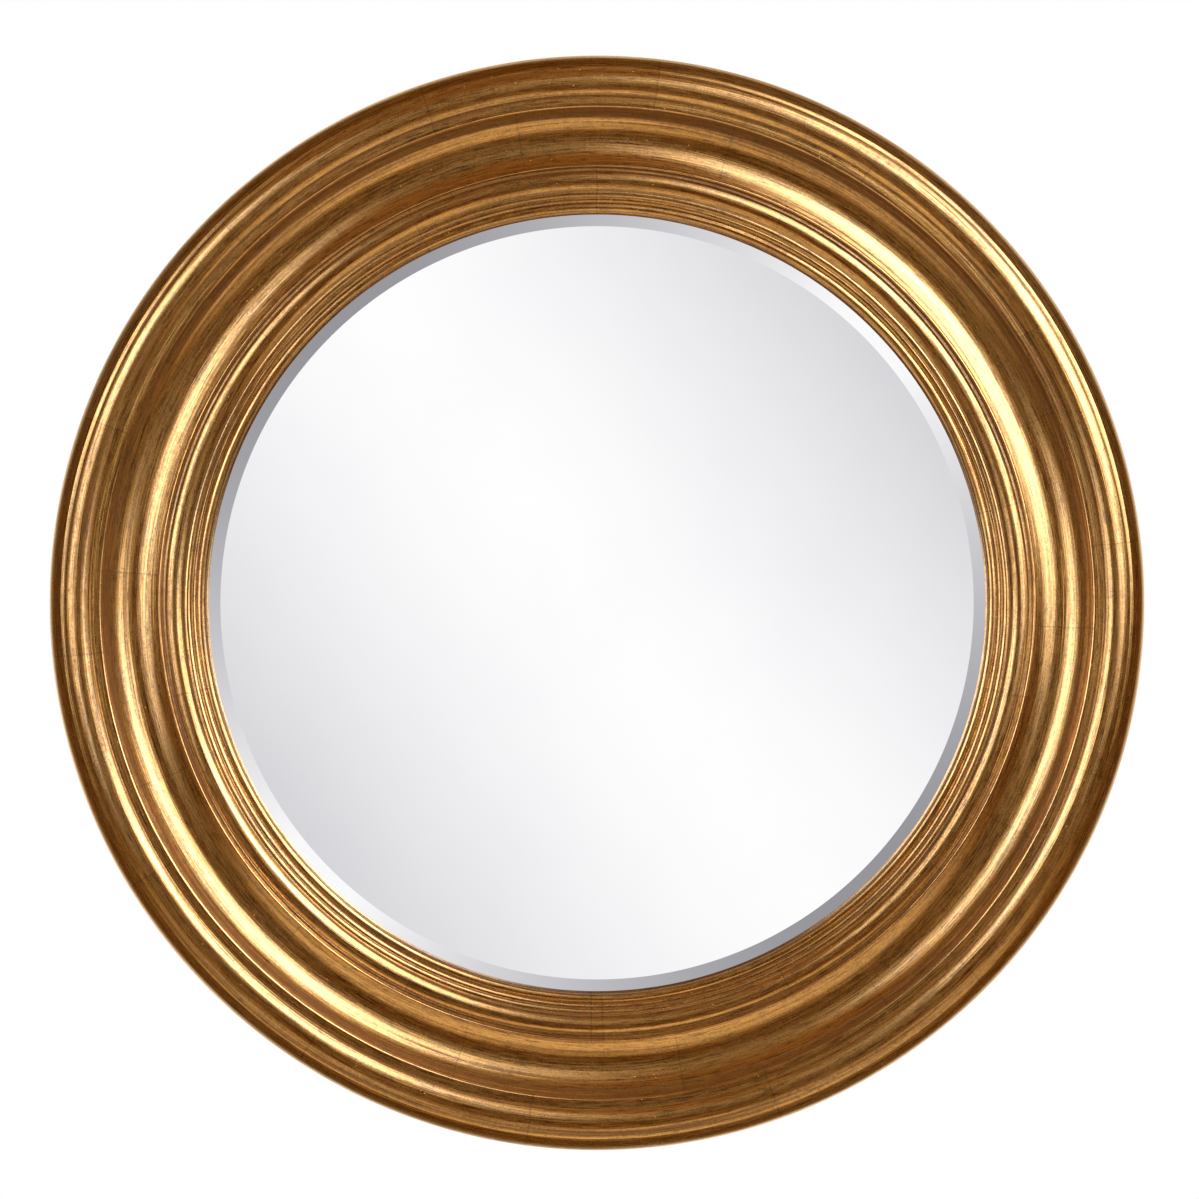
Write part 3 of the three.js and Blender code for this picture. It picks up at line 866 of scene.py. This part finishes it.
def wall_bumpers(places):
    """Rubber discs with rounded rims and a recess for the screw."""
    front = RING_BACK_Y + SEAT_GAP
    outline = rounded([
        (HOLE_RADIUS, front), (BUMPER_RADIUS, front), (BUMPER_RADIUS, 0.0), (BUMPER_RECESS_RADIUS, 0.0),
        (BUMPER_RECESS_RADIUS, -BUMPER_RECESS_DEPTH), (HOLE_RADIUS, -BUMPER_RECESS_DEPTH),
    ], 0.9 * MM, steps=4)
    rail = BUMPER_RADIUS / 2
    profile = line_mesh("bumper_profile", [(r - rail, y) for r, y in outline])
    master = TURNING.shape("bumper", profile, "bumper_rubber", rail_radius=rail, steps=BUMPER_STEPS, seed=0.0)
    piece = SETTING_OUT.shape("wall_bumpers", points_mesh(places), "bumper_rubber", piece=master)
    bpy.data.objects.remove(master)
    return fitted(piece, "frame", "bumper_rubber", *numbered("wall_bumper", 4))


# ---- Hangers ----


def hanger_strap(side, eye):
    """A steel strip, its upper end rolled round the ring's bar."""
    half = STRAP_THICKNESS / 2
    roll = EYE_RADIUS - half
    path = [(-roll, -STRAP_LENGTH + STRAP_LENGTH * i / 12) for i in range(12)]
    path += [(-roll * math.cos(a), roll * math.sin(a)) for a in np.radians(np.linspace(0, EYE_TURN, 44))]
    middle = np.array(path)
    along = np.gradient(middle, axis=0)
    along /= np.linalg.norm(along, axis=1)[:, None]
    sideways = np.stack([-along[:, 1], along[:, 0]], 1) * half
    outline = [*(middle + sideways), *(middle - sideways)[::-1]]
    count, rows = len(outline), len(middle)
    points = [
        (eye.x + x, eye.y + p[0], eye.z + p[1]) for x in (-STRAP_WIDTH / 2, STRAP_WIDTH / 2) for p in outline
    ]
    faces = [(i, (i + 1) % count, (i + 1) % count + count, i + count) for i in range(count)]
    for i in range(rows - 1):
        quad = (i, i + 1, count - 2 - i, count - 1 - i)
        faces += [quad, tuple(k + count for k in reversed(quad))]
    piece = face_mesh(f"hanger_strap_{side}_strip", points, faces, "steel_fittings")
    solid = bmesh.new()
    solid.from_mesh(piece.data)
    bmesh.ops.recalc_face_normals(solid, faces=solid.faces)
    hard = [e for e in solid.edges if e.calc_face_angle(0) > math.radians(50)]
    bmesh.ops.bevel(solid, geom=hard, offset=0.2 * MM, segments=2, profile=0.5, affect="EDGES")
    solid.to_mesh(piece.data)
    solid.free()
    return fitted(tidied(piece), "frame", "steel_fittings", f"hanger_strap_{side}")


def hanger_ring(side, eye):
    """A D of round wire that hangs from its straight side."""
    inner = RING_HALF_WIDTH - RING_CORNER
    outline = [(inner * (i / 4 - 1), 0.0) for i in range(1, 8)]

    def bend(centre_x, radius, start, end, steps):
        angles = np.radians(np.linspace(start, end, steps))
        return [(centre_x + radius * math.cos(a), -RING_CORNER + radius * math.sin(a)) for a in angles]

    outline += bend(inner, RING_CORNER, 90, 0, 9) + bend(0, RING_HALF_WIDTH, 0, -180, 34)[1:-1]
    outline += bend(-inner, RING_CORNER, 180, 90, 9)
    path = line_mesh("ring_path", [(eye.x + x, eye.y, eye.z + z) for x, z in outline])
    piece = WIRE.shape(f"hanger_ring_{side}_wire", path, "steel_fittings", wire_radius=WIRE_RADIUS, sides=20)
    return fitted(piece, f"hanger_ring_{side}", "steel_fittings", f"hanger_ring_{side}")


# ---- Assembly ----

gilded_frame()
mirror = mirror_glass()
for i in range(8):
    rear_segment(i)
    turn_button(i)
    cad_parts[f"packing_block_{i + 1}"].data.materials.clear()
    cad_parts[f"packing_block_{i + 1}"].data.materials.append(FINISHES["packing_wood"])
back_board()

plate_back = RING_BACK_Y + SEAT_GAP
button_screw_y = plate_back + BUTTON_THICKNESS + SEAT_GAP
screws(
    "turn_button_screws", [on_ring(BUTTON_PIVOT_RADIUS, 45 * i, button_screw_y) for i in range(8)],
    "brass_fittings", SCREW_GRIP, 3, numbered("turn_button_screw", 8),
)
bumper_places = [on_ring(BUMPER_RING, degrees) for degrees in (30, 150, 210, 330)]
wall_bumpers(bumper_places)
screws(
    "bumper_screws", [place + Vector((0, SEAT_GAP - BUMPER_RECESS_DEPTH, 0)) for place in bumper_places],
    "steel_fittings", SCREW_GRIP, 7, numbered("bumper_screw", 4),
)
strap_screw_places = []
strap_screw_nodes = []
for side, sign in (("left", -1), ("right", 1)):
    eye = on_ring(HANGER_RING, sign * HANGER_ANGLE, plate_back + EYE_RADIUS)
    hanger_strap(side, eye)
    hanger_ring(side, eye)
    strap_y = plate_back + STRAP_THICKNESS + SEAT_GAP
    strap_screw_places += [Vector((eye.x, strap_y, eye.z - drop)) for drop in STRAP_SCREW_DROPS]
    strap_screw_nodes += numbered(f"hanger_screw_{side}", 2)
screws("hanger_screws", strap_screw_places, "steel_fittings", SCREW_GRIP, 11, strap_screw_nodes)


# ---- Studio: floor, room, lamps and camera ----

FLOOR_Z = -1.35
FLOOR_Y = -1.2
FLOOR_RADIUS = 3.2
FLOOR_FADES_FROM = 1.6
WALL = (0.9, 0.9, 1, 1)  # where the mirror shows it in shade
GLOW = (1, 0.8, 0.52, 1)  # the light parts of the room as the gold shows them
DUSK = (1, 0.455, 0.1, 1)  # its dark parts as the gold shows them
FILL = 0.35  # light of the room in front on what isn't shiny
ROOM_LEVEL = 0.12  # brightness of the room in front as the gold shows it,
LOW_LIGHT = 0.66  # what the floor adds to it low down,
HIGH_LIGHT = 0.1  # and what the ceiling adds high up
LAMP_DISTANCE = 7.0
DAYLIGHT = (0.96, 0.99, 1.05)


def pale_floor():
    """A round, pale floor that fades out at its rim."""
    points = [(0.0, 0.0, FLOOR_Z)]
    points += [
        (FLOOR_RADIUS * math.cos(a), FLOOR_RADIUS * math.sin(a) + FLOOR_Y, FLOOR_Z)
        for a in np.radians(np.arange(0, 360, 5))
    ]
    sides = len(points) - 1
    faces = [(0, i, i % sides + 1) for i in range(1, sides + 1)]
    FINISHES["floor"] = floor_paint()
    floor = face_mesh("floor", points, faces, "floor")
    floor.visible_glossy = False


def floor_paint():
    """Pale paint, clear at the floor's rim."""
    finish = Finish("floor_paint")
    x, y, z = finish.split(finish.place)
    away = (x * x + (y - FLOOR_Y) * (y - FLOOR_Y)) ** 0.5
    color = finish.mix(finish.noise(finish.place, 3, 3), (0.9, 0.9, 0.9, 1), (0.87, 0.87, 0.87, 1))
    shader = finish.node("ShaderNodeBsdfPrincipled", None, {"Base Color": color, "Roughness": 0.9})
    clear = finish.node("ShaderNodeBsdfTransparent")
    mixed = finish.node("ShaderNodeMixShader", None, [away.fade(FLOOR_FADES_FROM, FLOOR_RADIUS), shader, clear])
    finish.node("ShaderNodeOutputMaterial", None, {"Surface": mixed})
    return finish.material


def studio():
    """White behind and around the object, a dim room in front of it, and white walls for the mirror to show."""
    world = bpy.data.worlds.new("studio")
    bpy.context.scene.world = world
    world.use_nodes = True
    tree = Tree(world.node_tree)
    x, y, z = tree.split(tree.node("ShaderNodeTexCoord", None, (), "Generated"))
    world.cycles.sampling_method = "NONE"
    rays = {
        name: tree.node("ShaderNodeLightPath", None, (), f"Is {name} Ray")
        for name in ("Camera", "Glossy", "Transmission", "Singular")
    }
    behind = y.fade(0.6, 0.9)
    ahead = y.fade(-0.94, -0.64) * y.fade(0.1, -0.35)
    room = ROOM_LEVEL + ahead * (z.fade(-0.38, -0.68) * LOW_LIGHT + z.fade(0.4, 0.78) * HIGH_LIGHT)
    room = room + behind * (1 - room)
    fill = FILL + y.fade(-0.2, 0.5) * (1 - FILL)
    room = fill + rays["Glossy"] * (room - fill)

    # What the mirror shows: pale walls that darken towards the ends of one diagonal. The bevel shows what
    # stands beside the other diagonal, which is darker.
    def off_axis(ring_angle):
        lean = math.radians(ring_angle)
        return (x * math.sin(lean) + z * math.cos(lean)).__abs__()

    wall = 1 - ((off_axis(54).at_most(0.29) / 0.29) ** 1.6) * 0.3
    beside = (1.04 - off_axis(136) * 1.43).at_most(0.97).at_least(0.33)
    in_bevel = ((x * x + z * z) ** 0.5).fade(0.32, 0.42)
    wall = wall + in_bevel * (beside - wall)
    wall = wall + behind * (1 - wall)

    seen = rays["Camera"].at_least(rays["Transmission"])
    level = room + rays["Singular"] * (wall - room)
    level = level + seen * (1 - level)
    shade = tree.mix(room.fade(0.6, 0.13), GLOW, DUSK)
    shade = tree.mix(rays["Singular"], shade, tree.mix(wall, WALL, (1, 1, 1, 1)))
    shade = tree.mix(rays["Glossy"], (1, 1, 1, 1), shade)
    color = tree.mix(seen, shade, (1, 1, 1, 1))
    background = tree.node("ShaderNodeBackground", None, {"Color": color, "Strength": level})
    tree.node("ShaderNodeOutputWorld", None, {"Surface": background})


def lamp(name, direction, radius, radiance):
    """A round soft lamp that lights all but the mirror, which shows the walls instead."""
    data = bpy.data.lights.new(name, "AREA")
    data.shape = "DISK"
    data.size = 2 * radius
    data.energy = radiance * math.pi * math.pi * radius**2  # as bright at any size
    data.color = DAYLIGHT
    data.use_nodes = True
    tree = Tree(data.node_tree)
    u, v, _ = tree.split(tree.node("ShaderNodeNewGeometry", None, (), "Parametric"))
    away = ((u - 0.5) * (u - 0.5) + (v - 0.5) * (v - 0.5)) ** 0.5 * 2
    tree.node("ShaderNodeOutputLight", None, [tree.node("ShaderNodeEmission", None, {"Strength": away.fade(1, 0.1)})])
    made = bpy.data.objects.new(name, data)
    made.location = Vector(direction).normalized() * LAMP_DISTANCE
    made.rotation_mode = "QUATERNION"
    made.rotation_quaternion = Vector(direction).to_track_quat("Z", "Y")
    made.visible_camera = False
    made.light_linking.receiver_collection = unlit
    bpy.context.scene.collection.objects.link(made)


CAMERA_DISTANCE = 8.0
PICTURE_WIDTH = 0.8763  # at the plane of the frame's outline
AIM = Vector((0.0018, -0.0376, 0.0024))


def camera():
    data = bpy.data.cameras.new("camera")
    data.sensor_width = 36
    data.lens = 36 * CAMERA_DISTANCE / PICTURE_WIDTH
    made = bpy.data.objects.new("camera", data)
    out = Vector((0, -1, 0))
    made.location = AIM + out * CAMERA_DISTANCE
    made.rotation_mode = "QUATERNION"
    made.rotation_quaternion = out.to_track_quat("Z", "Y")
    bpy.context.scene.collection.objects.link(made)
    bpy.context.scene.camera = made


unlit = bpy.data.collections.new("unlit")
unlit.objects.link(mirror)
unlit.collection_objects[0].light_linking.link_state = "EXCLUDE"
pale_floor()
studio()
lamp("lamp_right", (0.555, -0.719, 0.418), 5.0, 5.4)
lamp("lamp_left", (-0.625, -0.755, 0.2), 3.8, 3.4)
camera()
bpy.context.scene.view_settings.view_transform = "Standard"
